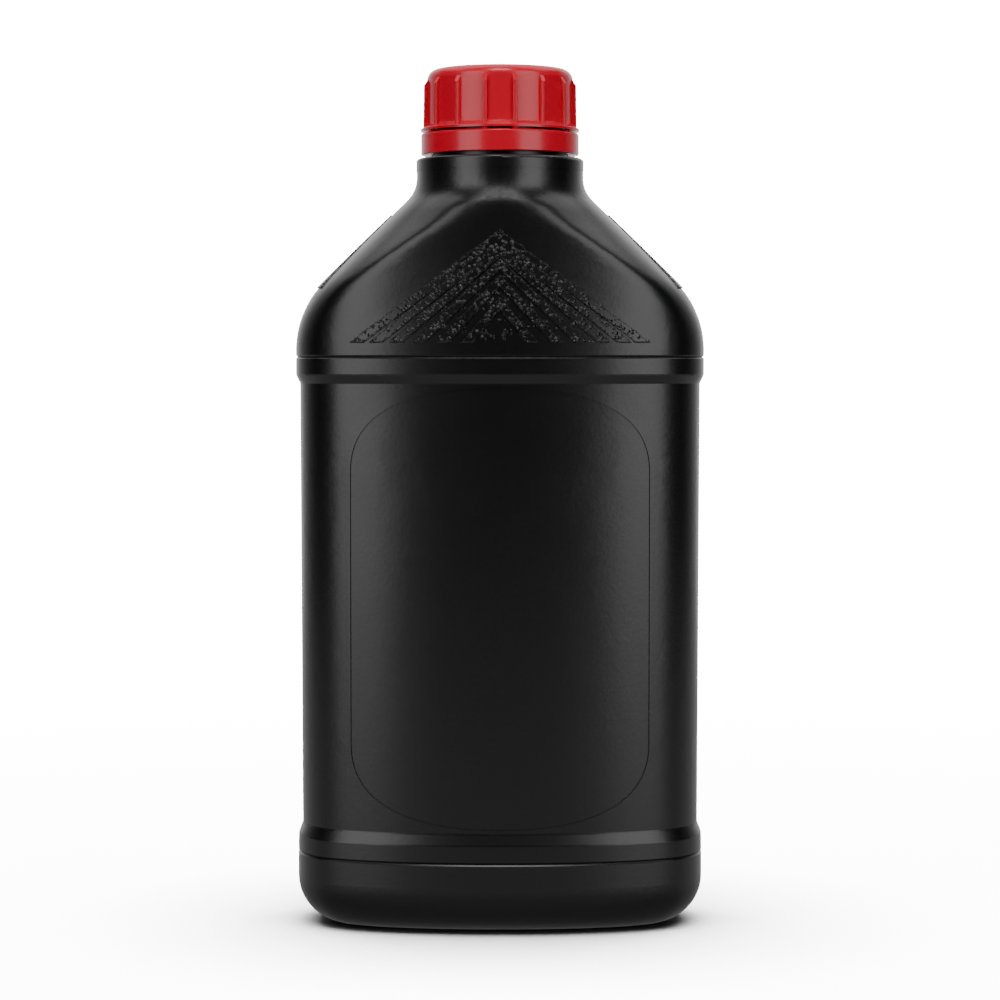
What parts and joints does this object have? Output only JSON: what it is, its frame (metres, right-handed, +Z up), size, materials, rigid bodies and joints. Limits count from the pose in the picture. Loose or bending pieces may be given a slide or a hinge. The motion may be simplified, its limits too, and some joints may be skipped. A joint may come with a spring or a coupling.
{
  "type": "motor oil bottle",
  "caption": "Black plastic motor oil bottle with an oval body, gabled shoulder with grip chevrons, a bare label panel and a red ribbed screw cap over a tamper ring.",
  "frame": {"origin": "on the floor under the middle of the bottle, on the axis of its neck", "axes": "+Z up along the neck's axis, the front label panel faces -Y, and the bottle is widest along X"},
  "size_m": [0.115, 0.0602, 0.24],
  "materials": {
    "black_polythene": "satin",
    "red_plastic": "gloss",
    "white_foam": "matte"
  },
  "bodies": {
    "bottle": {"bottle": "black_polythene", "tamper_ring": "red_plastic"},
    "liner": {"cap_liner": "white_foam"},
    "cap": {"cap": "red_plastic"}
  },
  "joints": [
    {"name": "cap_lift", "type": "slide", "parent": "bottle", "child": "liner", "axis": [0, 0, 1], "range_m": [0, 0.024]},
    {"name": "cap_turn", "type": "hinge", "parent": "liner", "child": "cap", "pos_m": [0, 0, 0.23], "axis": [0, 0, 1], "range_deg": [0, 1080]}
  ],
  "couplings": [
    {"joint": "cap_lift", "follows": "cap_turn", "m_per_rad": 0.0012732}
  ]
}
